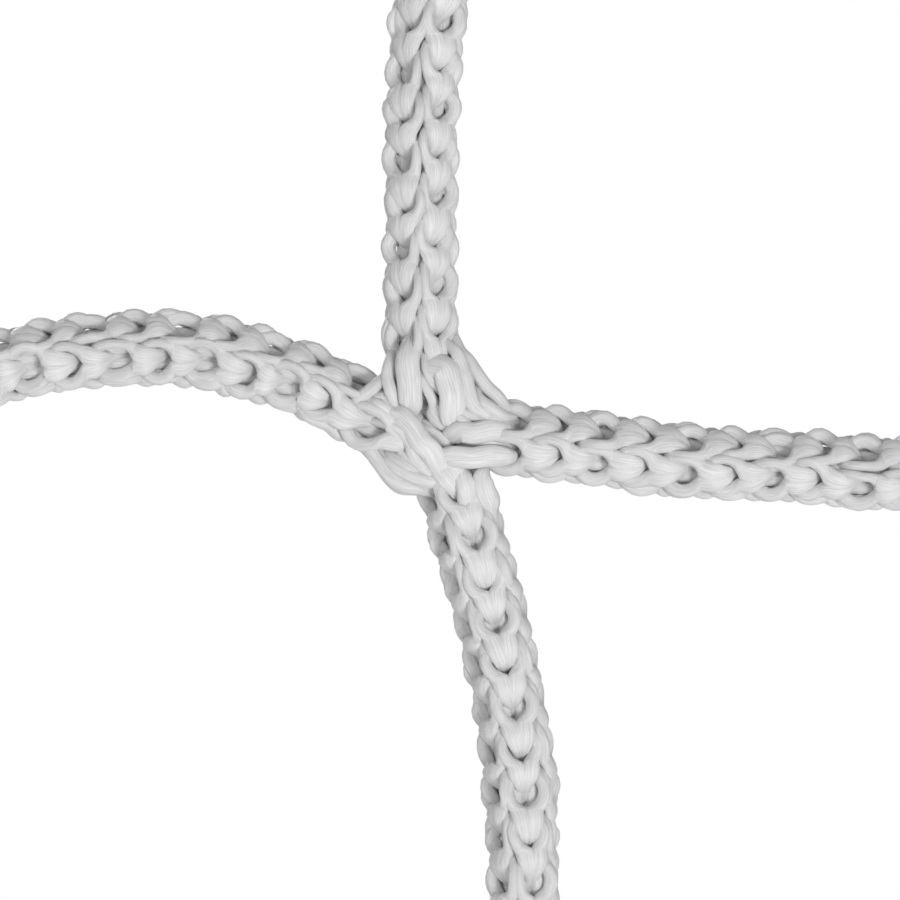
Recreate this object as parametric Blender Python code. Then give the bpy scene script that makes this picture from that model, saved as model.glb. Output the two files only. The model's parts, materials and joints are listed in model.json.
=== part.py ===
"""A panel of white knotless tennis netting, two meshes wide and two meshes high, hanging in the XZ plane.

Every crossing is made of two bundles of knitted chains that lie side by side and turn a corner: one comes
down from above and leaves to the right, the other comes in from the left and leaves downwards. A mesh bar
joins two crossings and swings at both of its ends. A leg that would lead to the next mesh outside the panel
is a short stub with a flat hot-cut end. The origin is the end of the top centre stub, where the panel hangs.
"""

import math

import bmesh
import bpy
from mathutils import Vector

MM = 0.001
TWINE_RADIUS = 1.45
TURN_SWELL = 0.20            # a bundle is this much thicker where it turns
SIDES = 8
SWING_DEG = 35.0             # how far a bar swings each way from rest
SWING_CLEARANCE = 0.15       # room left behind a bar's round end at full swing
CUP_RADIUS = 1.66            # hollow at the end of a turn, around a bar's round end
CUP_ANGLES_DEG = (20.0, 38.0)
CAP_ANGLES_DEG = (25.0, 58.0)    # the rings of a bar's round end, from its pole
BUNDLE_GAP = 0.05            # each bundle stops this far short of the plane between the two
BUNDLE_NORMAL_DEG = 47.7     # direction across that plane, from +X towards +Z
BUNDLE_OFFSET = 0.27         # distance of that plane from the crossing's centre
TURN_HANDLE = 0.5            # length of the handles of the curve that a turn follows
TURN_RINGS = 6
BAR_RINGS = 14
STUB_LENGTH = 9.0
STUB_RINGS = 4
STUB_GAP = 0.10              # between a stub and its arm
SPAN_STEPS = 12              # fine steps between two points of a route
SHARP_EDGE_DEG = 40.0
PIVOT_MARK = 2.0             # drawn size of the empties on the pivots

# Where the crossings lie: column step plus row step, x and z in millimetres from the centre crossing.
COLUMNS = {"left": (-44.6, 0.5), "centre": (0.0, 0.0), "right": (44.8, -2.6)}
ROWS = {"top": (1.4, 44.8), "middle": (0.0, 0.0), "bottom": (2.6, -44.7)}

# The four arms of a crossing: the point where a bar pivots, and the direction in which the arm leaves.
ARMS = {
    "up": ((-0.36, 3.40), (0.0, 1.0)),
    "left": ((-3.30, 1.05), (-0.894, 0.447)),
    "right": ((3.50, -0.40), (0.992, -0.124)),
    "down": ((1.25, -3.10), (0.243, -0.970)),
}
TURNS = {"upper_turn": ("up", "right"), "lower_turn": ("left", "down")}

# The route of each leg, from its pivot on the centre crossing outwards to the next crossing's pivot.
ROUTES = {
    "up": [(-0.36, 3.4), (-0.36, 8.0), (-0.3, 13.0), (0.1, 17.2), (1.3, 23.0),
           (3.0, 29.0), (3.9, 34.5), (3.55, 38.3), (2.65, 41.7)],
    "left": [(-3.3, 1.05), (-5.4, 2.05), (-9.2, 3.1), (-13.2, 3.1), (-17.2, 2.5),
             (-25.0, 0.6), (-33.0, -0.5), (-41.1, 0.1)],
    "right": [(3.5, -0.4), (6.8, -0.8), (10.8, -1.3), (14.8, -1.5), (18.8, -1.8), (23.5, -1.4),
              (27.6, -0.2), (31.6, 0.5), (35.6, 0.5), (39.4, -0.55), (41.5, -1.55)],
    "down": [(1.25, -3.1), (2.28, -6.8), (3.16, -10.8), (3.68, -14.8), (3.8, -18.8),
             (3.55, -25.0), (2.9, -31.0), (2.35, -36.5), (2.24, -41.3)],
}
FAR_ARM = {"up": "down", "left": "right", "right": "left", "down": "up"}

# How each bar differs from the one at the centre crossing: extra bow in the panel's plane, and out of it.
ROW_BOW = {"top": (-0.8, 0.7), "middle": (0.0, -0.5), "bottom": (0.7, 0.6)}
COLUMN_BOW = {"left": (0.8, -0.7), "centre": (0.0, 0.5), "right": (-0.7, 0.8)}

TWINE_COLOUR = (0.80, 0.80, 0.79, 1.0)
TWINE_ROUGHNESS = 0.55

ROW_STEPS = {"top": 1, "middle": 0, "bottom": -1}
COLUMN_STEPS = {"left": -1, "centre": 0, "right": 1}
OUTWARDS = {"up": (0, 1), "left": (-1, 0), "right": (1, 0), "down": (0, -1)}


def flat(point):
    """A point or direction of the panel's plane, given as x and z."""
    return Vector((point[0], 0.0, point[1]))


def crossing_centre(column, row):
    return flat(COLUMNS[column]) + flat(ROWS[row])


def arm(name):
    """An arm's pivot, from the crossing's centre, and its outward direction."""
    pivot, direction = ARMS[name]
    return flat(pivot), flat(direction).normalized()


def smooth_path(points, start_direction, end_direction):
    """A smooth curve through the points, with the given directions at its two ends."""
    count = len(points)
    slopes = [start_direction * (points[1] - points[0]).length]
    for k in range(1, count - 1):
        slopes.append((points[k + 1] - points[k - 1]) / 2)
    slopes.append(end_direction * (points[-1] - points[-2]).length)
    path = []
    for k in range(count - 1):
        for step in range(SPAN_STEPS):
            t = step / SPAN_STEPS
            path.append(
                points[k] * (2 * t**3 - 3 * t**2 + 1)
                + slopes[k] * (t**3 - 2 * t**2 + t)
                + points[k + 1] * (3 * t**2 - 2 * t**3)
                + slopes[k + 1] * (t**3 - t**2)
            )
    path.append(points[-1])
    return path


def leg_path(name):
    """A leg's fine path, from the centre crossing's pivot to the next crossing's pivot."""
    start = arm(name)[1]
    end = -arm(FAR_ARM[name])[1]
    return smooth_path([flat(p) for p in ROUTES[name]], start, end)


def bowed(path, in_plane, out_of_plane):
    """The path with its middle moved sideways, and its two ends and their directions kept."""
    chord = (path[-1] - path[0]).normalized()
    sideways = Vector((-chord.z, 0.0, chord.x))
    result = []
    for k, point in enumerate(path):
        weight = math.sin(math.pi * k / (len(path) - 1)) ** 2
        result.append(point + sideways * (in_plane * weight) + Vector((0.0, out_of_plane * weight, 0.0)))
    return result


def along(path, distances):
    """The points and directions at these distances along a path."""
    travelled = [0.0]
    for a, b in zip(path, path[1:]):
        travelled.append(travelled[-1] + (b - a).length)
    places = []
    k = 0
    for distance in distances:
        while k < len(path) - 2 and travelled[k + 1] < distance:
            k += 1
        share = (distance - travelled[k]) / (travelled[k + 1] - travelled[k])
        places.append((path[k].lerp(path[k + 1], share), (path[k + 1] - path[k]).normalized()))
    return places


def path_length(path):
    return sum((b - a).length for a, b in zip(path, path[1:]))


def ring(centre, direction, radius):
    """One ring of vertices around a path: its first vertex lies in the panel's plane."""
    side = direction.cross(Vector((0.0, 1.0, 0.0))).normalized()
    front = side.cross(direction).normalized()
    points = []
    for k in range(SIDES):
        angle = 2 * math.pi * k / SIDES
        points.append(centre + (side * math.cos(angle) + front * math.sin(angle)) * radius)
    return points


def skin(name, rings, origin, material, parent):
    """A closed solid through the rings, in metres, with its origin at a point in millimetres."""
    bm = bmesh.new()
    loops = [[bm.verts.new((p - origin) * MM) for p in points] for points in rings]
    for lower, upper in zip(loops, loops[1:]):
        for k in range(SIDES):
            following = (k + 1) % SIDES
            bm.faces.new((lower[k], upper[k], upper[following], lower[following]))
    bm.faces.new(loops[0])
    bm.faces.new(list(reversed(loops[-1])))
    bmesh.ops.recalc_face_normals(bm, faces=bm.faces)
    mesh = bpy.data.meshes.new(name)
    bm.to_mesh(mesh)
    bm.free()
    mesh.materials.append(material)
    mesh.shade_smooth()
    mesh.set_sharp_from_angle(angle=math.radians(SHARP_EDGE_DEG))
    thing = bpy.data.objects.new(name, mesh)
    place(thing, origin, parent)
    return thing


def place(thing, point, parent):
    """Puts an object at a point of the panel, in millimetres, under its parent."""
    bpy.context.scene.collection.objects.link(thing)
    world = (point - HANGING_POINT) * MM
    thing["place"] = list(world)
    thing.parent = parent
    thing.location = world - Vector(parent["place"]) if parent else world


def pivot_empty(name, point, parent):
    """An empty on a joint's axis, which carries everything that swings about it."""
    empty = bpy.data.objects.new(name, None)
    empty.empty_display_size = PIVOT_MARK * MM
    place(empty, point, parent)
    return empty


def arm_depth():
    """How far an arm's end stands back from the pivot, so that a bar clears it at full swing."""
    return TWINE_RADIUS * math.sin(math.radians(SWING_DEG)) + SWING_CLEARANCE


def cup_rings(pivot, direction):
    """The hollow end of an arm, from its floor to its rim and out to the arm's own surface."""
    depth = arm_depth()
    rings = []
    for degrees in CUP_ANGLES_DEG:
        angle = math.radians(degrees)
        rings.append(ring(pivot - direction * CUP_RADIUS * math.cos(angle), -direction,
                          CUP_RADIUS * math.sin(angle)))
    rim = math.sqrt(CUP_RADIUS**2 - depth**2)
    rings.append(ring(pivot - direction * depth, -direction, rim))
    return rings


def clear_of_other_bundle(points, centre, sign):
    """Points pressed back to their own side of the plane between a crossing's two bundles."""
    angle = math.radians(BUNDLE_NORMAL_DEG)
    normal = Vector((math.cos(angle), 0.0, math.sin(angle)))
    kept = []
    for point in points:
        distance = normal.dot(point - centre) - BUNDLE_OFFSET
        short = BUNDLE_GAP - sign * distance
        kept.append(point + normal * (sign * short) if short > 0 else point)
    return kept


def build_turn(name, centre, arms, jointed, sign, origin, material, parent):
    """One bundle of a crossing, from its first arm round the corner to its second."""
    (first_pivot, first_out), (last_pivot, last_out) = arm(arms[0]), arm(arms[1])
    first_pivot = centre + first_pivot
    last_pivot = centre + last_pivot
    start = first_pivot - first_out * arm_depth()
    end = last_pivot - last_out * arm_depth()
    start_handle = start - first_out * TURN_HANDLE
    end_handle = end - last_out * TURN_HANDLE
    rings = cup_rings(first_pivot, first_out) if jointed[0] else []
    for k in range(TURN_RINGS + 1):
        t = k / TURN_RINGS
        u = 1 - t
        point = start * u**3 + start_handle * (3 * u * u * t) + end_handle * (3 * u * t * t) + end * t**3
        heading = ((start_handle - start) * (u * u) + (end_handle - start_handle) * (2 * u * t)
                   + (end - end_handle) * (t * t))
        rings.append(ring(point, heading.normalized(), TWINE_RADIUS + TURN_SWELL * math.sin(math.pi * t)))
    if jointed[1]:
        for points in reversed(cup_rings(last_pivot, last_out)):
            rings.append(ring_facing(points, last_out))
    rings = [clear_of_other_bundle(points, centre, sign) for points in rings]
    skin(name, rings, origin, material, parent)


def ring_facing(points, direction):
    """The ring's vertices in the order that a ring along this direction has."""
    side = direction.cross(Vector((0.0, 1.0, 0.0))).normalized()
    middle = sum(points, Vector()) / len(points)
    start = max(range(SIDES), key=lambda k: side.dot(points[k] - middle))
    turned = points[start:] + points[:start]
    return [turned[0]] + list(reversed(turned[1:]))


def build_bar(name, path, origin, material, parent):
    """A mesh bar with a round end about each of its two pivots."""
    length = path_length(path)
    places = along(path, [length * k / BAR_RINGS for k in range(BAR_RINGS + 1)])
    first, first_direction = places[0]
    last, last_direction = places[-1]
    rings = []
    for degrees in CAP_ANGLES_DEG:
        angle = math.radians(degrees)
        rings.append(ring(first - first_direction * TWINE_RADIUS * math.cos(angle), first_direction,
                          TWINE_RADIUS * math.sin(angle)))
    for point, direction in places:
        rings.append(ring(point, direction, TWINE_RADIUS))
    for degrees in reversed(CAP_ANGLES_DEG):
        angle = math.radians(degrees)
        rings.append(ring(last + last_direction * TWINE_RADIUS * math.cos(angle), last_direction,
                          TWINE_RADIUS * math.sin(angle)))
    skin(name, rings, origin, material, parent)


def stub_path(name, centre):
    """A stub follows the same route as a whole leg, from the end of its arm to the cut."""
    pivot, direction = arm(name)
    path = [centre + p for p in leg_path(name)]
    return [centre + pivot - direction * (arm_depth() - STUB_GAP)] + path


def build_stub(name, arm_name, centre, origin, material, parent):
    """A cut leg, flat at its outer end."""
    path = stub_path(arm_name, centre)
    length = arm_depth() - STUB_GAP + STUB_LENGTH
    places = along(path, [length * k / STUB_RINGS for k in range(STUB_RINGS + 1)])
    skin(name, [ring(point, direction, TWINE_RADIUS) for point, direction in places],
         origin, material, parent)


def stub_end(name, column, row):
    """The middle of a stub's cut face and the direction that it faces."""
    length = arm_depth() - STUB_GAP + STUB_LENGTH
    return along(stub_path(name, crossing_centre(column, row)), [length])[0]


HANGING_POINT = stub_end("up", "centre", "top")[0]


def has_bar(column, row, arm_name):
    """True where an arm leads to another crossing of the panel, and False where it is cut."""
    across, up = OUTWARDS[arm_name]
    return abs(COLUMN_STEPS[column] + across) <= 1 and abs(ROW_STEPS[row] + up) <= 1


def build_crossing(column, row, pivot, material, parent):
    """A crossing's two turns and its stubs, all swinging about one empty."""
    centre = crossing_centre(column, row)
    name = f"crossing_{row}_{column}"
    holder = pivot_empty(name + "_pivot", pivot, parent)
    for turn, arms in TURNS.items():
        jointed = [has_bar(column, row, arm_name) for arm_name in arms]
        sign = 1 if turn == "upper_turn" else -1
        build_turn(f"{name}_{turn}", centre, arms, jointed, sign, pivot, material, holder)
    for arm_name in ARMS:
        if not has_bar(column, row, arm_name):
            build_stub(f"stub_{row}_{column}_{arm_name}", arm_name, centre, pivot, material, holder)
    return holder


def bar_path(column, row, arm_name):
    """The path of the bar that leaves this crossing along this arm."""
    centre = crossing_centre(column, row)
    if arm_name in ("left", "right"):
        bow = ROW_BOW[row]
    else:
        bow = COLUMN_BOW[column]
    return [centre + p for p in bowed(leg_path(arm_name), *bow)]


def build_row_bar(row, side, material, parent):
    """A bar that leaves the centre column to one side. Its empty lies on the pivot there."""
    path = bar_path("centre", row, side)
    name = f"bar_{row}_row_{side}"
    holder = pivot_empty(name + "_pivot", path[0], parent)
    build_bar(name, path, path[0], material, holder)
    return holder, path[-1]


def build_column_bar(column, level, material, parent):
    """A bar that hangs from a crossing. Its empty lies on its upper pivot."""
    if level == "upper":
        path = list(reversed(bar_path(column, "middle", "up")))
    else:
        path = bar_path(column, "middle", "down")
    name = f"bar_{column}_column_{level}"
    holder = pivot_empty(name + "_pivot", path[0], parent)
    build_bar(name, path, path[0], material, holder)
    return holder, path[-1]


def build_column(column, top, material):
    """Everything that hangs from a crossing of the top row, and the crossings it goes through."""
    crossings = {"top": top}
    above = top
    for level, row in (("upper", "middle"), ("lower", "bottom")):
        bar, lower_pivot = build_column_bar(column, level, material, above)
        above = build_crossing(column, row, lower_pivot, material, bar)
        crossings[row] = above
    return crossings


def twine_material():
    """White multifilament twine."""
    material = bpy.data.materials.new("knitted_twine")
    material.use_nodes = True
    shader = material.node_tree.nodes["Principled BSDF"]
    shader.inputs["Base Color"].default_value = TWINE_COLOUR
    shader.inputs["Roughness"].default_value = TWINE_ROUGHNESS
    shader.inputs["Metallic"].default_value = 0.0
    material.diffuse_color = TWINE_COLOUR
    return material


def build_panel():
    """The crossing that the panel hangs by, the top row on each side of it, then the three columns."""
    for old in list(bpy.data.objects):
        bpy.data.objects.remove(old)
    material = twine_material()
    top = {"centre": build_crossing("centre", "top", HANGING_POINT, material, None)}
    for side in ("left", "right"):
        bar, far_pivot = build_row_bar("top", side, material, top["centre"])
        top[side] = build_crossing(side, "top", far_pivot, material, bar)
    middle_column = build_column("centre", top["centre"], material)
    for side in ("left", "right"):
        build_column(side, top[side], material)
        for row in ("middle", "bottom"):
            build_row_bar(row, side, material, middle_column[row])
    bpy.context.view_layer.update()


build_panel()
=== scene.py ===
"""Looks of a panel of white knotless tennis netting: every leg is knitted from five chains of looped yarn.

The legs follow the paths of the solids in the frame. Knit makes the two halves of every bar, the cut legs and
the turns of the crossings, and link loops go over the front and the back of each crossing.
"""
import json
import math

import bpy
import numpy as np
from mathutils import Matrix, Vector

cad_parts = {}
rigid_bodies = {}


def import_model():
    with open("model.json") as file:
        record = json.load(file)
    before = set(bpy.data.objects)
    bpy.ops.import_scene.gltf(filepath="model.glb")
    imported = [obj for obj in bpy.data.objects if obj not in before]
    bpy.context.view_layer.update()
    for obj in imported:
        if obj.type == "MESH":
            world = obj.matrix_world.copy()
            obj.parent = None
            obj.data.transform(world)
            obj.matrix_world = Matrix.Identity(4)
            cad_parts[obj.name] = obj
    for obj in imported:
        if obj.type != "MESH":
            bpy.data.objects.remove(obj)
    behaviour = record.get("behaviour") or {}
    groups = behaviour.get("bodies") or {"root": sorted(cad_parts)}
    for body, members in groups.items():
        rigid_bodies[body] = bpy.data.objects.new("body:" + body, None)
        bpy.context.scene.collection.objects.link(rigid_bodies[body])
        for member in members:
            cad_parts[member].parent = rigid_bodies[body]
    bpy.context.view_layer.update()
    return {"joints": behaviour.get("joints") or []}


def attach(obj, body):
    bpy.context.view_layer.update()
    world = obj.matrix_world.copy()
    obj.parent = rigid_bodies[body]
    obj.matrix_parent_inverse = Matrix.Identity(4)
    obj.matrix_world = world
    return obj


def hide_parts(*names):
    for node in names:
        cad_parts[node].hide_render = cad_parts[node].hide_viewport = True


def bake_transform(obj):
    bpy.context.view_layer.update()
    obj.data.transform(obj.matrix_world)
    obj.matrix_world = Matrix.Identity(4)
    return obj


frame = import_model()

# ---------------------------------------------------------------- sizes, mostly in millimetres
MM = 0.001

# Where the crossings lie, their arms (pivot and outward direction) and the routes of the legs, as x and z.
COLUMNS = {"left": (-44.6, 0.5), "centre": (0.0, 0.0), "right": (44.8, -2.6)}
ROWS = {"top": (1.4, 44.8), "middle": (0.0, 0.0), "bottom": (2.6, -44.7)}
ARMS = {
    "up": ((-0.36, 3.40), (0.0, 1.0)),
    "left": ((-3.30, 1.05), (-0.894, 0.447)),
    "right": ((3.50, -0.40), (0.992, -0.124)),
    "down": ((1.25, -3.10), (0.243, -0.970)),
}
ROUTES = {
    "up": [(-0.36, 3.4), (-0.36, 8.0), (-0.3, 13.0), (0.1, 17.2), (1.3, 23.0),
           (3.0, 29.0), (3.9, 34.5), (3.55, 38.3), (2.65, 41.7)],
    "left": [(-3.3, 1.05), (-5.4, 2.05), (-9.2, 3.1), (-13.2, 3.1), (-17.2, 2.5),
             (-25.0, 0.6), (-33.0, -0.5), (-41.1, 0.1)],
    "right": [(3.5, -0.4), (6.8, -0.8), (10.8, -1.3), (14.8, -1.5), (18.8, -1.8), (23.5, -1.4),
              (27.6, -0.2), (31.6, 0.5), (35.6, 0.5), (39.4, -0.55), (41.5, -1.55)],
    "down": [(1.25, -3.1), (2.28, -6.8), (3.16, -10.8), (3.68, -14.8), (3.8, -18.8),
             (3.55, -25.0), (2.9, -31.0), (2.35, -36.5), (2.24, -41.3)],
}
FAR_ARM = {"up": "down", "left": "right", "right": "left", "down": "up"}
ROW_BOW = {"top": (-0.8, 0.7), "middle": (0.0, -0.5), "bottom": (0.7, 0.6)}
COLUMN_BOW = {"left": (0.8, -0.7), "centre": (0.0, 0.5), "right": (-0.7, 0.8)}
ROW_STEPS = {"top": 1, "middle": 0, "bottom": -1}
COLUMN_STEPS = {"left": -1, "centre": 0, "right": 1}
OUTWARDS = {"up": (0, 1), "left": (-1, 0), "right": (1, 0), "down": (0, -1)}
STUB_LENGTH = 9.0
STUB_STEPS = 40
PATH_STEPS = 16              # fine steps between two points of a route

PITCH = 1.76                 # one stitch along the leg
WALES = 5                    # knitted chains side by side around a leg
KNIT_RADIUS = 0.87           # from a leg's middle to the middle of its knitted wall
LOOP_DEPTH = 0.40            # how far a loop swings out and in from there
YARN_HALF_WIDTH = 0.42
YARN_HALF_THICKNESS = 0.20
YARN_ROUNDING = 0.16         # what its half thickness would gain if it were gathered to no width
SQUARENESS = 0.75            # power of the sine and cosine in a yarn's outline: 1 is an ellipse
SHEAR = 0.35                 # how far a yarn's outline turns with it when it swings across its chain
SAMPLES = 50                 # rings of vertices in one stitch of yarn
SIDES = 12                   # vertices in a ring
INLAY_RADIUS = 0.50          # the bundle of yarn along the middle of a leg
STRAND_RADIUS = 0.30         # the yarns that run along a leg behind the seams between its chains
STRAND_PLACE = 0.62          # how far those lie from the leg's middle
CORE_STEPS = 2               # rings in one stitch of those straight yarns
ZIGZAG = 0.03                # the chains swing sideways by this share of their width, one way and back
LEAN = 0.10                  # a stitch's leading arm lies this many loop depths further out than the other

# Which way the first chain of a leg faces at each arm, in degrees from the front towards the right or the
# top edge, and how open its loops are. The chains are knitted upwards and to the left.
ROLL = {"up": -38.0, "left": -20.0, "right": -30.0, "down": 8.0}
OPENNESS = {"up": 0.1, "left": 1.0, "right": 0.4, "down": 0.3}
ALWAYS_OPEN_ADDS = 1.0       # a chain that is open at every slit is this much looser

# The plane between the two bundles of a crossing: its direction from +X towards +Z, its distance from the
# crossing's centre and how far the middle of a yarn stays away from it.
BUNDLE_NORMAL = math.radians(47.7)
BUNDLE_OFFSET = 0.27
BUNDLE_GAP = 0.26
TURN_STITCHES = 3
TURN_REACH = 2.1             # length of the handles of the curve that a turn follows
TURN_STEPS = 32
TURN_SWELL = 0.10            # a turn is this much thicker in its middle
BEND_SHARE = (0.2, 0.8)      # a leg goes over from one arm's pattern to the other's between these shares

# How uneven the knitting is, as the spread of its random changes along a leg: radians, openness, a share of
# the width, millimetres, a share of LOOP_DEPTH, pitches and a share of the yarn's width.
UNEVEN_TURN = 0.05
UNEVEN_OPENNESS = 0.20
UNEVEN_WIDTH = 0.06
UNEVEN_RADIUS = 0.03
UNEVEN_DEPTH = 0.10
UNEVEN_PLACE = 0.05
UNEVEN_YARN = 0.04
CHAIN_OFFSET, STITCH_OFFSET = 3.0, 7.0   # how far along the filaments' pattern each yarn starts
SEEDS_PER_PIECE = 16         # a piece's seed is multiplied by this, so that each of its chains has its own
SEED_STEP = 10               # from one crossing, row or column to the next
STUB_SEED = 5                # a cut leg's seed, from its crossing's
FADE_STITCHES = 1.2          # those changes fade out over this many stitches at a leg's ends
LOOSEST, TIGHTEST = 1.5, -0.2
ARM_STARTS, ARM_BLEND = 0.20, 0.14   # from this share of a chain's width outwards, a yarn is one of the arms

# How far each of a leg's chains is shifted along it at each arm, in pitches, and at which of its slits,
# counted from the arm's pivot, it is open: the even ones (0), the odd ones (1) or every one (ALWAYS).
SHIFT = {"up": (0.12, 0.36, 0.20, 0.05, 0.20), "left": (0.47, 0.02, 0.25, 0.30, 0.40),
         "right": (0.18, 0.10, 0.10, 0.30, 0.20), "down": (0.27, 0.43, 0.20, 0.20, 0.47)}
ALWAYS = 2
OPEN_AT = {"up": (0, 1, 0, 1, 0), "left": (1, 0, 1, 0, 1),
           "right": (0, 0, 1, 0, 1), "down": (1, 0, 1, 0, ALWAYS)}

# One side of a stitch, from where its two legs come up together through the last loop to the head that lies
# behind the next one. Each place is: along the leg (a share of the pitch), across the chain (a share of its
# width), out from the knitted wall (a share of LOOP_DEPTH), the yarn's width (a share of YARN_HALF_WIDTH),
# then what an open loop adds to the first two and to the width. A stitch of the first kind ends at an open
# slit, and one of the second kind ends tight against the next stitch.
STITCH_ENDS = [(1.42, 0.38, 0.10, 0.50, 0.00, 0.00, 0.00), (1.53, 0.28, -0.75, 0.55, 0.00, 0.00, 0.00),
               (1.64, 0.15, -1.30, 0.60, 0.00, 0.00, 0.00)]
STITCH_KINDS = [
    [(-0.28, 0.05, -1.40, 0.60, 0.00, 0.00, 0.00), (-0.14, 0.09, -0.95, 0.64, 0.05, 0.00, -0.05),
     (-0.04, 0.11, -0.25, 0.70, 0.10, 0.00, -0.05), (0.06, 0.12, 0.36, 0.78, 0.11, 0.00, -0.05),
     (0.21, 0.14, 0.82, 0.92, 0.08, 0.00, 0.00), (0.38, 0.16, 1.02, 0.98, 0.02, 0.00, 0.00),
     (0.54, 0.18, 0.88, 1.00, -0.04, 0.00, 0.00), (0.66, 0.24, 0.62, 0.88, -0.07, 0.02, -0.04),
     (0.76, 0.36, 0.72, 0.62, -0.08, 0.03, -0.08), (0.90, 0.43, 1.02, 0.50, -0.04, 0.03, -0.08),
     (1.08, 0.45, 1.12, 0.48, 0.00, 0.02, -0.06), (1.26, 0.44, 0.74, 0.48, 0.00, 0.01, -0.04)] + STITCH_ENDS,
    [(-0.25, 0.05, -1.40, 0.58, 0.00, 0.00, 0.00), (-0.02, 0.08, -1.15, 0.60, 0.05, 0.00, -0.05),
     (0.09, 0.10, -0.60, 0.64, 0.08, 0.00, -0.08), (0.19, 0.11, 0.05, 0.72, 0.09, 0.00, -0.08),
     (0.32, 0.13, 0.62, 0.86, 0.06, 0.00, -0.04), (0.46, 0.16, 0.96, 0.97, 0.02, 0.00, 0.00),
     (0.60, 0.18, 0.92, 1.00, 0.00, 0.00, 0.00), (0.72, 0.24, 0.72, 0.88, -0.02, 0.00, 0.00),
     (0.83, 0.35, 0.74, 0.64, -0.03, 0.01, -0.04), (0.96, 0.42, 1.00, 0.52, -0.02, 0.02, -0.06),
     (1.12, 0.45, 1.12, 0.48, 0.00, 0.02, -0.06), (1.28, 0.44, 0.72, 0.48, 0.00, 0.01, -0.04)] + STITCH_ENDS,
]
STITCH_HEAD = (1.70, 0.0, -1.50, 0.60, 0.0, 0.0, 0.0)       # the middle of the loop, between its two arms
STITCH_UNDERLAP = (0.40, 0.0, -2.0, 0.60, 0.0, 0.0, 0.0)    # where the yarn goes over to the next stitch

# The loops that link the two bundles of a crossing on its front and on its back, by the turn they belong to:
# half the yarn's width, then places across, up and out from the crossing's centre.
LINK_LOOPS = {
    "upper_turn": [
        (0.44, [(3.34, -0.20, 0.60), (2.96, -0.10, 1.12), (2.40, -0.06, 1.42), (1.76, -0.10, 1.56),
                (1.20, -0.20, 1.46), (0.86, -0.34, 1.05), (0.66, -0.52, 0.45)]),
        (0.45, [(3.30, -1.00, 0.50), (2.90, -1.04, 1.00), (2.32, -1.06, 1.34), (1.60, -1.08, 1.52),
                (0.90, -1.10, 1.48), (0.46, -1.20, 1.08), (0.18, -1.36, 0.45)]),
        (0.50, [(-0.70, 3.62, 0.70), (-0.78, 3.20, 1.22), (-0.82, 2.60, 1.46), (-0.80, 1.85, 1.56),
                (-0.80, 1.30, 1.42), (-0.84, 0.94, 1.05), (-0.90, 0.70, 0.45)]),
        (0.27, [(-1.40, 3.30, 0.35), (-1.54, 2.70, 0.85), (-1.62, 2.05, 1.10), (-1.56, 1.45, 1.16),
                (-1.46, 1.04, 0.90), (-1.30, 0.80, 0.40)]),
        (0.56, [(-0.34, 2.60, 0.70), (0.06, 2.66, 1.28), (0.52, 2.36, 1.52), (0.78, 1.84, 1.62),
                (0.86, 1.28, 1.60), (0.94, 0.72, 1.42), (0.88, 0.24, 1.05), (0.72, -0.10, 0.50)]),
        (0.28, [(0.96, 3.70, 0.40), (1.24, 3.20, 0.72), (1.52, 2.68, 0.92), (1.88, 2.20, 1.00),
                (2.30, 1.74, 1.02), (2.68, 1.32, 0.90), (2.92, 0.86, 0.62), (3.00, 0.50, 0.20)]),
        (0.30, [(0.70, 3.52, 0.70), (0.98, 3.12, 1.12), (1.22, 2.56, 1.26), (1.38, 2.00, 1.36),
                (1.56, 1.44, 1.40), (1.82, 0.96, 1.34), (2.16, 0.56, 1.14), (2.50, 0.24, 0.70)]),
        (0.26, [(1.70, 1.70, 0.70), (2.00, 1.26, 1.10), (2.40, 0.86, 1.22), (2.86, 0.60, 1.05),
                (3.30, 0.50, 0.60)]),
    ],
    "lower_turn": [
        (0.46, [(-1.70, 1.00, 0.50), (-1.18, 0.56, 1.20), (-0.70, 0.06, 1.52), (-0.32, -0.46, 1.60),
                (0.00, -0.96, 1.52), (0.38, -1.44, 1.28), (0.86, -1.74, 0.92), (1.30, -1.84, 0.40)]),
        (0.28, [(-2.44, 0.36, 0.45), (-1.74, 0.26, 1.05), (-1.16, -0.08, 1.34), (-0.76, -0.50, 1.40),
                (-0.62, -0.98, 1.34), (-0.28, -1.46, 1.20), (0.30, -1.76, 0.92), (0.90, -1.92, 0.35)]),
        (0.30, [(-3.20, -0.20, 0.30), (-2.56, -0.68, 0.72), (-2.04, -1.26, 0.90), (-1.66, -1.84, 0.95),
                (-1.12, -2.22, 0.90), (-0.48, -2.40, 0.72), (0.10, -2.52, 0.30)]),
        (0.28, [(-2.00, -0.86, 0.40), (-1.54, -1.40, 0.95), (-1.00, -1.70, 1.12), (-0.40, -1.90, 1.14),
                (0.16, -2.06, 1.00), (0.76, -2.26, 0.50)]),
        (0.26, [(-3.30, 0.96, 0.50), (-2.86, 1.24, 1.05), (-2.36, 1.58, 1.16), (-1.84, 2.04, 0.60)]),
        (0.36, [(-2.60, 0.98, 0.70), (-2.10, 0.88, 1.20), (-1.60, 0.62, 1.25), (-1.20, 0.30, 0.90)]),
        (0.40, [(1.20, -1.46, 0.70), (1.26, -1.84, 1.18), (1.34, -2.32, 1.34), (1.46, -2.84, 1.10),
                (1.56, -3.20, 0.60)]),
        (0.44, [(2.10, -1.50, 0.60), (2.14, -1.96, 1.02), (2.22, -2.44, 1.10), (2.34, -2.90, 0.85),
                (2.44, -3.20, 0.40)]),
    ],
}
LINK_TILT = 0.25             # how far a link loop's flat side turns outwards, per millimetre from the centre
LINK_JITTER = 0.04
LINK_THICKNESS = 0.25        # half of the yarn's thickness
LINK_ROUNDNESS = 0.88        # power of the sine and cosine in a link loop's outline
LINK_TAPER = 0.3             # share of a link loop's length over which each end narrows to half its width
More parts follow.
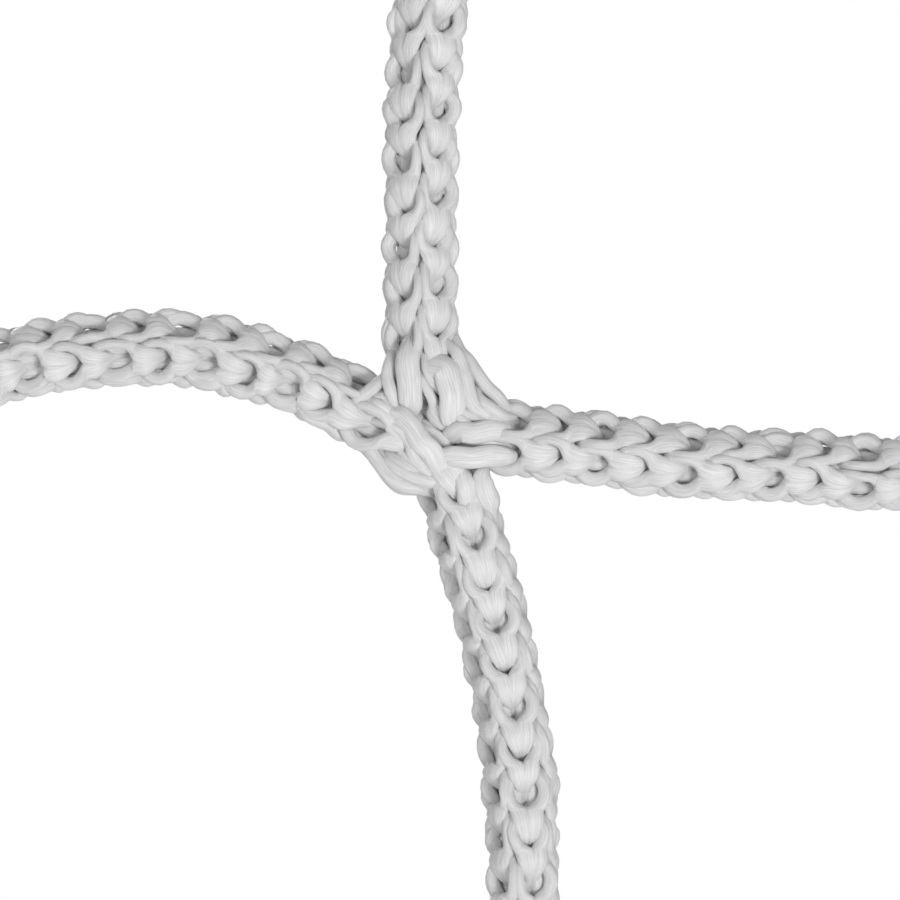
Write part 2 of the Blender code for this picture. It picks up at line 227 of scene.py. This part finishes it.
LINK_THINNING = 2            # a link loop's rings lie at each second fine step of its path
LINK_SEED = 9                # a crossing's link loops use this number, where chains have theirs
LINK_LENGTHS = 10.0          # the yarn's pattern starts anywhere within this length

CAP_RADIUS = 1.18            # the fused end of a cut leg
CAP_THICKNESS = 0.32         # half of it
CAP_SIDES = 40
CAP_RINGS = 11
CAP_GRAIN = 0.02             # the yarn's pattern is drawn out across the fused face by this scale
CAP_ROUNDNESS = 0.5
CAP_RIPPLE = 0.05
CUT_REACH = 1.0              # the stitches are drawn together over this length before a cut
CUT_GATHER = 0.30            # share of their distance from the leg's middle that they lose at the cut
CUT_PRESS = 0.85


# ---------------------------------------------------------------- paths
def flat(p):
    return np.array([p[0], 0.0, p[1]], float)


def unit(v):
    return v / np.maximum(np.linalg.norm(v, axis=-1, keepdims=True), 1e-12)


def arm(name):
    return flat(ARMS[name][0]), unit(flat(ARMS[name][1]))


def smooth_path(points, start_direction, end_direction):
    """A smooth curve through the points, with the given directions at its two ends."""
    points = [np.array(p, float) for p in points]
    slopes = [start_direction * np.linalg.norm(points[1] - points[0])]
    for k in range(1, len(points) - 1):
        slopes.append((points[k + 1] - points[k - 1]) / 2)
    slopes.append(end_direction * np.linalg.norm(points[-1] - points[-2]))
    path = []
    for k in range(len(points) - 1):
        for step in range(PATH_STEPS):
            t = step / PATH_STEPS
            path.append(points[k] * (2 * t**3 - 3 * t**2 + 1) + slopes[k] * (t**3 - 2 * t**2 + t)
                        + points[k + 1] * (3 * t**2 - 2 * t**3) + slopes[k + 1] * (t**3 - t**2))
    path.append(points[-1])
    return np.array(path)


def leg_path(name):
    return smooth_path([flat(p) for p in ROUTES[name]], arm(name)[1], -arm(FAR_ARM[name])[1])


def bowed(path, in_plane, out_of_plane):
    chord = unit(path[-1] - path[0])
    sideways = np.array([-chord[2], 0.0, chord[0]])
    weight = np.sin(np.pi * np.arange(len(path)) / (len(path) - 1))[:, None] ** 2
    return path + weight * (sideways * in_plane + np.array([0.0, out_of_plane, 0.0]))


class Leg:
    """A path that can be asked for its place and its directions at any distance along it."""

    def __init__(self, points):
        self.points = np.asarray(points, float)
        steps = np.linalg.norm(np.diff(self.points, axis=0), axis=1)
        self.travelled = np.concatenate([[0.0], np.cumsum(steps)])
        self.length = self.travelled[-1]
        self.tangents = unit(np.gradient(self.points, self.travelled, axis=0))

    def at(self, s):
        """Place, direction, front and side at distances s. Past an end, the leg goes straight on."""
        inside = np.clip(s, 0.0, self.length)
        place = np.stack([np.interp(inside, self.travelled, self.points[:, k]) for k in range(3)], -1)
        along = np.stack([np.interp(inside, self.travelled, self.tangents[:, k]) for k in range(3)], -1)
        along = unit(along)
        place = place + along * (s - inside)[..., None]
        # The front is -Y, square to the leg.
        front = unit(np.array([0.0, -1.0, 0.0]) - along * (-along[..., 1:2]))
        return place, along, front, np.cross(along, front)


# ---------------------------------------------------------------- yarn
def stitch_corners(kind):
    side = STITCH_KINDS[kind]
    mirrored = [(s, -u, r, w, open_s, -open_u, open_w) for s, u, r, w, open_s, open_u, open_w in side]
    return np.array(mirrored + [STITCH_HEAD] + side[::-1] + [STITCH_UNDERLAP])


def stitch_templates():
    """Both kinds of stitch as smooth curves, at SAMPLES places."""
    corners = [stitch_corners(0), stitch_corners(1)]
    count = len(corners[0])
    templates = []
    for kind in range(2):
        def corner(k):
            turn, index = divmod(k, count)
            return corners[(kind + turn) % 2][index] + np.array([turn, 0, 0, 0, 0, 0, 0])
        curve = []
        for sample in range(SAMPLES):
            k, t = divmod(sample * count / SAMPLES, 1.0)
            a, b, c, d = (corner(int(k) + step) for step in (-1, 0, 1, 2))
            curve.append(0.5 * (2 * b + (c - a) * t + (2 * a - 5 * b + 4 * c - d) * t**2
                                + (3 * b - a - 3 * c + d) * t**3))
        templates.append(np.array(curve))
    return templates


TEMPLATES = stitch_templates()


def wander(rng, positions, total, size):
    """A smooth random change along the leg that fades out at both of its ends."""
    knots = rng.normal(0.0, size, int(total) + 4)
    value = np.interp(positions, np.arange(len(knots)) - 1.0, knots)
    fade = np.clip(np.minimum(positions, total - positions) / FADE_STITCHES, 0.0, 1.0)
    return value * fade


class Cloth:
    """Collects yarns and makes one mesh of them."""

    def __init__(self):
        self.verts, self.faces, self.uvs, self.count = [], [], [], 0

    def yarn(self, centres, outward, half_width, half_thickness, leg=None, power=SQUARENESS,
             start_length=0.0):
        """A soft flat yarn along the centres, its flat side facing outward. leg is its leg's direction."""
        centres = np.asarray(centres, float)
        along = np.gradient(centres, axis=0)
        if leg is not None:
            sideways = np.cross(leg, outward)
            along = along - sideways * ((1.0 - SHEAR) * (along * sideways).sum(-1, keepdims=True))
        along = unit(along)
        across = unit(np.cross(along, outward))
        normal = np.cross(across, along)
        corners = np.arange(SIDES)
        angles = 2 * np.pi * corners / SIDES - np.pi / 2
        width = np.broadcast_to(np.asarray(half_width, float), (len(centres),))[:, None, None]
        thick = np.broadcast_to(np.asarray(half_thickness, float), (len(centres),))[:, None, None]
        flat_part = np.sign(np.cos(angles)) * np.abs(np.cos(angles))**power
        high_part = np.sign(np.sin(angles)) * np.abs(np.sin(angles))**power
        rings = (centres[:, None, :] + across[:, None, :] * flat_part[None, :, None] * width
                 + normal[:, None, :] * high_part[None, :, None] * thick)
        base = self.count
        rows = len(centres)
        self.verts.append(rings.reshape(-1, 3))
        starts = base + np.arange(rows - 1)[:, None] * SIDES
        lower = starts + corners[None, :]
        following = starts + (corners[None, :] + 1) % SIDES
        quads = np.stack([lower, following, following + SIDES, lower + SIDES], -1).reshape(-1, 4)
        self.faces.extend(quads.tolist())
        steps = np.linalg.norm(np.diff(centres, axis=0), axis=1)
        length = start_length + np.concatenate([[0], np.cumsum(steps)])
        u0 = np.broadcast_to(length[:-1, None], (rows - 1, SIDES))
        u1 = np.broadcast_to(length[1:, None], (rows - 1, SIDES))
        v0 = np.broadcast_to(corners[None, :] / SIDES, (rows - 1, SIDES))
        v1 = v0 + 1.0 / SIDES
        self.uvs.append(np.stack([u0, v0, u0, v1, u1, v1, u1, v0], -1).reshape(-1, 2))
        self.faces.append(list(range(base + SIDES - 1, base - 1, -1)))
        self.uvs.append(np.stack([np.full(SIDES, length[0]), corners / SIDES], -1)[::-1])
        last = base + (rows - 1) * SIDES
        self.faces.append(list(range(last, last + SIDES)))
        self.uvs.append(np.stack([np.full(SIDES, length[-1]), corners / SIDES], -1))
        self.count += rows * SIDES

    def surface(self, verts, faces, uvs):
        """Adds a closed surface with a UV for each corner of each face."""
        base = self.count
        self.verts.append(np.asarray(verts, float))
        self.faces.extend([[base + k for k in face] for face in faces])
        self.uvs.append(np.asarray(uvs, float).reshape(-1, 2))
        self.count += len(verts)

    def object(self, name, material):
        """The scene's object with everything that was added so far."""
        verts = (np.concatenate(self.verts) + WORLD_SHIFT) * MM
        mesh = bpy.data.meshes.new(name)
        mesh.from_pydata(verts.tolist(), [], self.faces)
        layer = mesh.uv_layers.new(name="YarnUV")
        layer.data.foreach_set("uv", np.concatenate(self.uvs).ravel().astype(np.float32))
        mesh.materials.append(material)
        mesh.shade_smooth()
        mesh.update()
        thing = bpy.data.objects.new(name, mesh)
        bpy.context.scene.collection.objects.link(thing)
        return thing


def press(points, centre, sign):
    """Points of one bundle pressed back to its own side of the plane between a crossing's two bundles."""
    normal = np.array([math.cos(BUNDLE_NORMAL), 0.0, math.sin(BUNDLE_NORMAL)])
    depth = sign * ((points - centre) @ normal - BUNDLE_OFFSET)
    short = np.maximum(BUNDLE_GAP - depth, 0.0)
    return points + normal * (sign * short)[..., None]


def draw_in(points, place, along):
    """Points near a cut pressed back behind it and drawn in towards the leg's middle."""
    offset = (points - place) @ along
    past = np.maximum(offset + CUT_REACH, 0.0)
    pressed = CUT_REACH * (1.0 - np.exp(-past / CUT_REACH))
    middle = place + along * offset[:, None]
    inward = (middle - points) * (CUT_GATHER * np.clip(past / CUT_REACH, 0.0, 1.0)**2)[:, None]
    return points + inward - along * (past - pressed * CUT_PRESS)[:, None]


def eased(share):
    """From 0 to 1 over the middle of a leg."""
    middle = np.clip((share - BEND_SHARE[0]) / (BEND_SHARE[1] - BEND_SHARE[0]), 0.0, 1.0)
    return middle * middle * (3 - 2 * middle)


def place_around(leg, position, pitch, angle, radius):
    """Places at this many pitches along a leg and this far from its middle, with the directions there."""
    place, along, front, side = leg.at(position * pitch)
    outward = front * np.cos(angle)[:, None] + side * np.sin(angle)[:, None]
    return place + outward * np.reshape(radius, (-1, 1)), outward, along


def knit(cloth, leg, stitches, first, last, arms, seed, squeeze=None, swell=0.0, cut=None):
    """Knits stitches first to last of a leg that has this many in all between two arms, and its core."""
    pitch = leg.length / stitches
    chain_angle = 360.0 / WALES
    roll = [ROLL[name] for name in arms]
    # The leg twists as little as its two arms allow, so a chain may get another number at the far arm.
    twist = (roll[1] - roll[0] + chain_angle / 2) % chain_angle - chain_angle / 2
    passed = round((roll[0] + twist - roll[1]) / chain_angle)

    def shaped(centres):
        if squeeze is not None:
            centres = press(centres, *squeeze)
        if cut is not None:
            centres = draw_in(centres, *cut)
        return centres

    for wale in range(WALES):
        rng = np.random.default_rng(seed * SEEDS_PER_PIECE + wale)
        far_wale = (wale + passed) % WALES
        shifts = (SHIFT[arms[0]][wale], SHIFT[arms[1]][far_wale])
        open_at = (OPEN_AT[arms[0]][wale], OPEN_AT[arms[1]][far_wale])
        openness = [OPENNESS[name] + ALWAYS_OPEN_ADDS * (when == ALWAYS)
                    for name, when in zip(arms, open_at)]
        rows = []
        for n in range(first, last + 1):
            near = 2 * n < stitches
            slit = n + 1 if near else stitches - n - 1
            when = open_at[0] if near else open_at[1]
            kind = 0 if when == ALWAYS else (slit + when) % 2
            rows.append(TEMPLATES[kind] + np.array([n, 0, 0, 0, 0, 0, 0]))
        shape = np.vstack(rows)[:SAMPLES * (last - first) + 1]
        position, across, depth, plump, open_along, open_across, open_plump = shape.T

        def uneven(size):
            return wander(rng, position, stitches, size)

        course = np.repeat([(-1.0)**n for n in range(first, last + 1)], SAMPLES)[:len(shape)]
        arm_share = np.clip((np.abs(across) - ARM_STARTS) / ARM_BLEND, 0.0, 1.0)
        share = np.clip(position / stitches, 0.0, 1.0)
        ease = eased(share)
        turn = np.radians(roll[0] + twist * ease + chain_angle * wale) + uneven(UNEVEN_TURN)
        loose = openness[0] + (openness[1] - openness[0]) * ease
        loose = np.clip(loose + uneven(UNEVEN_OPENNESS), TIGHTEST, LOOSEST)
        width = (across + open_across * loose) * (1.0 + uneven(UNEVEN_WIDTH)) + ZIGZAG * course * arm_share
        radius = KNIT_RADIUS + swell * np.sin(np.pi * share) + uneven(UNEVEN_RADIUS)
        depth = depth + LEAN * course * np.sign(across) * arm_share
        radius = radius + depth * LOOP_DEPTH * (1.0 + uneven(UNEVEN_DEPTH))
        shift = shifts[0] + (shifts[1] - shifts[0]) * ease
        lengthways = position + open_along * loose + shift + uneven(UNEVEN_PLACE)
        angle = turn + width * math.radians(chain_angle)
        centres, outward, along = place_around(leg, lengthways, pitch, angle, radius)
        plump = (plump + open_plump * loose) * (1.0 + uneven(UNEVEN_YARN))
        thickness = YARN_HALF_THICKNESS + YARN_ROUNDING * (1.0 - plump)
        cloth.yarn(shaped(centres), outward, YARN_HALF_WIDTH * plump, thickness, leg=along,
                   start_length=CHAIN_OFFSET * wale + STITCH_OFFSET * first)

    position = np.linspace(first, last, CORE_STEPS * (last - first) + 1)
    place, _, front, _ = leg.at(position * pitch)
    cloth.yarn(shaped(place), front, INLAY_RADIUS, INLAY_RADIUS)
    for wale in range(WALES):
        angle = np.radians(roll[0] + twist * eased(position / stitches) + chain_angle * (wale + 0.5))
        centres, outward, _ = place_around(leg, position, pitch, angle, STRAND_PLACE)
        cloth.yarn(shaped(centres), outward, STRAND_RADIUS, STRAND_RADIUS, power=1.0)


# ---------------------------------------------------------------- materials
def twine_material(name):
    """White multifilament yarn: fine filaments run along it, and it has a soft satin gloss. Its colour is
    streaked along the filaments, and the lighter streaks are painted glints.
    """
    material = bpy.data.materials.new(name)
    material.use_nodes = True
    nodes, links = material.node_tree.nodes, material.node_tree.links
    shader = nodes["Principled BSDF"]
    uv = nodes.new("ShaderNodeUVMap")
    uv.uv_map = "YarnUV"
    stretch = nodes.new("ShaderNodeMapping")
    stretch.inputs["Scale"].default_value = (0.9, 56.0, 1.0)
    filaments = nodes.new("ShaderNodeTexNoise")
    filaments.inputs["Scale"].default_value = 1.0
    filaments.inputs["Detail"].default_value = 3.0
    filaments.inputs["Roughness"].default_value = 0.6
    links.new(uv.outputs["UV"], stretch.inputs["Vector"])
    links.new(stretch.outputs["Vector"], filaments.inputs["Vector"])
    patches = nodes.new("ShaderNodeTexNoise")
    patches.inputs["Scale"].default_value = 900.0
    patches.inputs["Detail"].default_value = 2.0
    place = nodes.new("ShaderNodeTexCoord")
    links.new(place.outputs["Object"], patches.inputs["Vector"])
    # The yarn's colour: streaks along the filaments, partly the filaments' own pattern and partly painted
    # glints in the lighter flecks.
    filament_streaks_painted_glints = nodes.new("ShaderNodeValToRGB")
    filament_streaks_painted_glints.color_ramp.elements[0].position = 0.30
    filament_streaks_painted_glints.color_ramp.elements[0].color = (0.70, 0.70, 0.70, 1.0)
    filament_streaks_painted_glints.color_ramp.elements[1].position = 0.62
    filament_streaks_painted_glints.color_ramp.elements[1].color = (0.91, 0.91, 0.91, 1.0)
    links.new(filaments.outputs["Fac"], filament_streaks_painted_glints.inputs["Fac"])
    shade = nodes.new("ShaderNodeMapRange")
    shade.inputs["From Min"].default_value = 0.3
    shade.inputs["From Max"].default_value = 0.7
    shade.inputs["To Min"].default_value = 0.93
    shade.inputs["To Max"].default_value = 1.0
    links.new(patches.outputs["Fac"], shade.inputs["Value"])
    mixed = nodes.new("ShaderNodeMix")
    mixed.data_type = "RGBA"
    mixed.blend_type = "MULTIPLY"
    mixed.inputs["Factor"].default_value = 1.0
    links.new(filament_streaks_painted_glints.outputs["Color"], mixed.inputs["A"])
    links.new(shade.outputs["Result"], mixed.inputs["B"])
    links.new(mixed.outputs["Result"], shader.inputs["Base Color"])
    gloss = nodes.new("ShaderNodeMapRange")
    gloss.inputs["To Min"].default_value = 0.30
    gloss.inputs["To Max"].default_value = 0.52
    links.new(filaments.outputs["Fac"], gloss.inputs["Value"])
    links.new(gloss.outputs["Result"], shader.inputs["Roughness"])
    bump = nodes.new("ShaderNodeBump")
    bump.inputs["Strength"].default_value = 0.9
    bump.inputs["Distance"].default_value = 0.00005
    links.new(filaments.outputs["Fac"], bump.inputs["Height"])
    links.new(bump.outputs["Normal"], shader.inputs["Normal"])
    shader.inputs["Specular IOR Level"].default_value = 0.45
    return material


# ---------------------------------------------------------------- the panel
LOWER_PIVOT = next(joint["pos_m"] for joint in frame["joints"] if joint["name"] == "lower_meshes_swing")
WORLD_SHIFT = np.array(LOWER_PIVOT) / MM - flat(ARMS["down"][0])


def crossing_centre(column, row):
    return flat(COLUMNS[column]) + flat(ROWS[row])


def has_bar(column, row, arm_name):
    across, up = OUTWARDS[arm_name]
    return abs(COLUMN_STEPS[column] + across) <= 1 and abs(ROW_STEPS[row] + up) <= 1


def world(point):
    """A point of the panel, in millimetres from the centre crossing, as a place in the frame."""
    return tuple((np.asarray(point) + WORLD_SHIFT) * MM)


def crossing_body(column, row):
    return f"crossing_{row}_{column}"


def finish_piece(piece, *nodes):
    if nodes:
        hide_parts(*nodes)


def build_bar(column, row, arm_name, node, near, far, material, seed):
    """A whole bar as two halves. near and far are the crossing bodies where its knitting starts and ends."""
    centre = crossing_centre(column, row)
    bow = ROW_BOW[row] if arm_name in ("left", "right") else COLUMN_BOW[column]
    path = bowed(leg_path(arm_name), *bow) + centre
    arms = (arm_name, FAR_ARM[arm_name])
    if arm_name in ("right", "down"):
        path = path[::-1]
        arms = arms[::-1]
    leg = Leg(path)
    stitches = round(leg.length / PITCH)
    middle = stitches // 2
    for part, first, last in (("first", 0, middle), ("second", middle, stitches)):
        cloth = Cloth()
        knit(cloth, leg, stitches, first, last, arms, seed)
        piece = cloth.object(f"{node}_{part}_half", material)
        crossing = near if part == "first" else far
        joined = any({crossing, node} == {j["parent"], j["child"]} for j in frame["joints"])
        if not joined:
            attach(piece, node)
        elif part == "first":
            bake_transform(piece)
        else:
            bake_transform(piece)
        finish_piece(piece, node)


def turn_path(arms, centre):
    """The path of one bundle round its corner, from one pivot of the crossing to the other."""
    (a, first_out), (d, last_out) = arm(arms[0]), arm(arms[1])
    t = np.linspace(0.0, 1.0, TURN_STEPS + 1)[:, None]
    b = a - first_out * TURN_REACH
    c = d - last_out * TURN_REACH
    return a * (1 - t)**3 + b * 3 * t * (1 - t)**2 + c * 3 * t**2 * (1 - t) + d * t**3 + centre


def link_loop(cloth, half_width, points, centre, side, rng):
    """A short yarn over the front (side 1) or the back (side -1) of a crossing, its ends tucked in."""
    places = np.array([(x, -side * out, z) for x, z, out in points])
    places = places + rng.normal(0.0, LINK_JITTER, places.shape)
    path = smooth_path(places, unit(places[1] - places[0]), unit(places[-1] - places[-2]))
    path = path[::LINK_THINNING]
    tilt = path * np.array([LINK_TILT, 0.0, LINK_TILT])
    outward = unit(tilt + np.array([0.0, -side, 0.0]))
    share = np.linspace(0.0, 1.0, len(path))
    full = np.clip(np.minimum(share, 1.0 - share) / LINK_TAPER, 0.0, 1.0)
    width = half_width * (0.5 + 0.5 * full * (2.0 - full))
    cloth.yarn(path + centre, outward, width, LINK_THICKNESS, power=LINK_ROUNDNESS,
               start_length=LINK_LENGTHS * rng.random())


def build_crossing(column, row, material, seed):
    """The two turns of a crossing with their link loops, and its cut legs."""
    centre = crossing_centre(column, row)
    body = crossing_body(column, row)
    for turn, arms, sign in (("upper_turn", ("right", "up"), 1), ("lower_turn", ("down", "left"), -1)):
        cloth = Cloth()
        leg = Leg(turn_path(arms, centre))
        knit(cloth, leg, TURN_STITCHES, 0, TURN_STITCHES, arms, seed, squeeze=(centre, sign),
             swell=TURN_SWELL)
        rng = np.random.default_rng(seed * SEEDS_PER_PIECE + LINK_SEED)
        for half_width, points in LINK_LOOPS[turn]:
            for side in (1, -1):
                link_loop(cloth, half_width, points, centre, side, rng)
        piece = cloth.object(f"{body}_{turn}_knit", material)
        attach(piece, body)
        finish_piece(piece, f"{body}_{turn}")
    for arm_name in ARMS:
        if not has_bar(column, row, arm_name):
            build_stub(column, row, arm_name, material, seed)


def fused_end(cloth, place, along):
    """The rounded disc that a hot blade leaves where it cuts a leg."""
    front = np.array([0.0, -1.0, 0.0])
    side = np.cross(along, front)
    around = 2 * np.pi * np.arange(CAP_SIDES) / CAP_SIDES
    tilt = np.linspace(-np.pi / 2, np.pi / 2, CAP_RINGS)[1:-1]
    verts, uvs, faces = [], [], []
    for ring, angle in enumerate(tilt):
        radius = CAP_RADIUS * math.cos(angle)**CAP_ROUNDNESS
        height = CAP_THICKNESS * math.sin(angle)
        for k in range(CAP_SIDES):
            ripple = 1.0 + CAP_RIPPLE * math.cos(WALES * around[k])
            verts.append(place + along * height
                         + (front * math.cos(around[k]) + side * math.sin(around[k])) * radius * ripple)
    last = len(tilt) - 1
    for ring in range(last):
        for k in range(CAP_SIDES):
            following = (k + 1) % CAP_SIDES
            base = ring * CAP_SIDES
            faces.append([base + k, base + following, base + CAP_SIDES + following, base + CAP_SIDES + k])
            uvs.extend([(ring, k / CAP_SIDES), (ring, (k + 1) / CAP_SIDES),
                        (ring + 1, (k + 1) / CAP_SIDES), (ring + 1, k / CAP_SIDES)])
    end_uvs = [(CAP_RADIUS * math.cos(angle), CAP_GRAIN * math.sin(angle)) for angle in around]
    faces.append(list(range(CAP_SIDES - 1, -1, -1)))
    uvs.extend(end_uvs[::-1])
    faces.append([last * CAP_SIDES + k for k in range(CAP_SIDES)])
    uvs.extend(end_uvs)
    cloth.surface(verts, faces, uvs)


def build_stub(column, row, arm_name, material, seed):
    """A cut leg with its fused end."""
    centre = crossing_centre(column, row)
    body = crossing_body(column, row)
    leg = Leg(leg_path(arm_name) + centre)
    cut = leg.at(np.linspace(0.0, STUB_LENGTH, STUB_STEPS + 1))[0]
    cut_place, cut_along = cut[-1], unit(cut[-1] - cut[-2])
    if arm_name in ("right", "down"):
        cut = cut[::-1]
    leg = Leg(cut)
    stitches = round(leg.length / PITCH)
    cloth = Cloth()
    knit(cloth, leg, stitches, 0, stitches, (arm_name, arm_name), seed + STUB_SEED,
         cut=(cut_place, cut_along))
    fused_end(cloth, cut_place - cut_along * CAP_THICKNESS, cut_along)
    piece = cloth.object(f"stub_{row}_{column}_{arm_name}_knit", material)
    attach(piece, body)
    finish_piece(piece, f"stub_{row}_{column}_{arm_name}")


def build_panel():
    material = twine_material("white_yarn")
    seed = 1
    for row in ROWS:
        for column in COLUMNS:
            build_crossing(column, row, material, seed)
            seed += SEED_STEP
    for row in ROWS:
        build_bar("centre", row, "left", f"bar_{row}_row_left", crossing_body("centre", row),
                  crossing_body("left", row), material, seed)
        build_bar("centre", row, "right", f"bar_{row}_row_right", crossing_body("right", row),
                  crossing_body("centre", row), material, seed + 1)
        seed += SEED_STEP
    for column in COLUMNS:
        build_bar(column, "middle", "up", f"bar_{column}_column_upper", crossing_body(column, "middle"),
                  crossing_body(column, "top"), material, seed)
        build_bar(column, "middle", "down", f"bar_{column}_column_lower", crossing_body(column, "bottom"),
                  crossing_body(column, "middle"), material, seed + 1)
        seed += SEED_STEP


# ---------------------------------------------------------------- stage
FRAME_WIDTH = 36.0           # width of the view at the netting
LENS = 200.0
VIEW_CENTRE = (0.8, -0.8)    # middle of the view, from the centre crossing's centre
FLOOR_Z = -0.30              # metres
DIM_SIDE = (-0.25, 0.25, 0.94)   # the room is darker towards the upper left


def stage():
    scene = bpy.context.scene
    room = bpy.data.worlds.new("white_room")
    scene.world = room
    room.use_nodes = True
    nodes, links = room.node_tree.nodes, room.node_tree.links
    seen = nodes.new("ShaderNodeBackground")
    seen.inputs["Color"].default_value = (1, 1, 1, 1)
    seen.inputs["Strength"].default_value = 1.0
    lit = nodes["Background"]
    lit.inputs["Color"].default_value = (1, 1, 1, 1)
    where = nodes.new("ShaderNodeTexCoord")
    upwards = nodes.new("ShaderNodeVectorMath")
    upwards.operation = "DOT_PRODUCT"
    upwards.inputs[1].default_value = DIM_SIDE
    links.new(where.outputs["Generated"], upwards.inputs[0])
    dimmed = nodes.new("ShaderNodeMapRange")
    dimmed.interpolation_type = "SMOOTHSTEP"
    dimmed.inputs["From Min"].default_value = -0.3
    dimmed.inputs["From Max"].default_value = 0.8
    dimmed.inputs["To Min"].default_value = 0.34
    dimmed.inputs["To Max"].default_value = 0.30
    links.new(upwards.outputs["Value"], dimmed.inputs["Value"])
    links.new(dimmed.outputs["Result"], lit.inputs["Strength"])
    path = nodes.new("ShaderNodeLightPath")
    mix = nodes.new("ShaderNodeMixShader")
    links.new(path.outputs["Is Camera Ray"], mix.inputs[0])
    links.new(lit.outputs[0], mix.inputs[1])
    links.new(seen.outputs[0], mix.inputs[2])
    links.new(mix.outputs[0], nodes["World Output"].inputs["Surface"])
    scene.view_settings.view_transform = "Standard"

    bpy.ops.mesh.primitive_circle_add(vertices=128, radius=1.5, fill_type="NGON", location=(0, 0, FLOOR_Z))
    floor = bpy.context.object
    floor.name = "floor"
    floor_material = bpy.data.materials.new("pale_floor")
    floor_material.use_nodes = True
    floor_shader = floor_material.node_tree.nodes["Principled BSDF"]
    floor_shader.inputs["Base Color"].default_value = (0.82, 0.82, 0.82, 1)
    floor_shader.inputs["Roughness"].default_value = 0.8
    floor_shader.inputs["Emission Color"].default_value = (1, 1, 1, 1)
    floor_shader.inputs["Emission Strength"].default_value = 0.28
    floor.data.materials.append(floor_material)

    target = Vector(world(flat(VIEW_CENTRE)))
    camera = bpy.data.objects.new("camera", bpy.data.cameras.new("camera"))
    scene.collection.objects.link(camera)
    camera.data.sensor_width = 36.0
    camera.data.lens = LENS
    distance = LENS * FRAME_WIDTH / camera.data.sensor_width * MM
    camera.location = target + Vector((0, -distance, 0))
    camera.rotation_euler = (math.pi / 2, 0, 0)
    camera.data.clip_start = 0.01
    camera.data.clip_end = 10.0
    scene.camera = camera

    def area(name, place, size, power):
        light = bpy.data.lights.new(name, "AREA")
        light.shape = "DISK"
        light.size = size
        light.energy = power
        light.spread = math.radians(60.0)
        thing = bpy.data.objects.new(name, light)
        scene.collection.objects.link(thing)
        thing.location = target + Vector(place)
        thing.rotation_euler = Vector(place).to_track_quat("Z", "Y").to_euler()
        thing.visible_camera = False
    area("key", (0.30, -0.60, -0.16), 0.22, 0.28)
    area("fill", (-0.5, -0.6, 0.25), 0.5, 0.16)
    area("back", (-0.3, 0.7, 0.35), 0.5, 0.28)


build_panel()
stage()
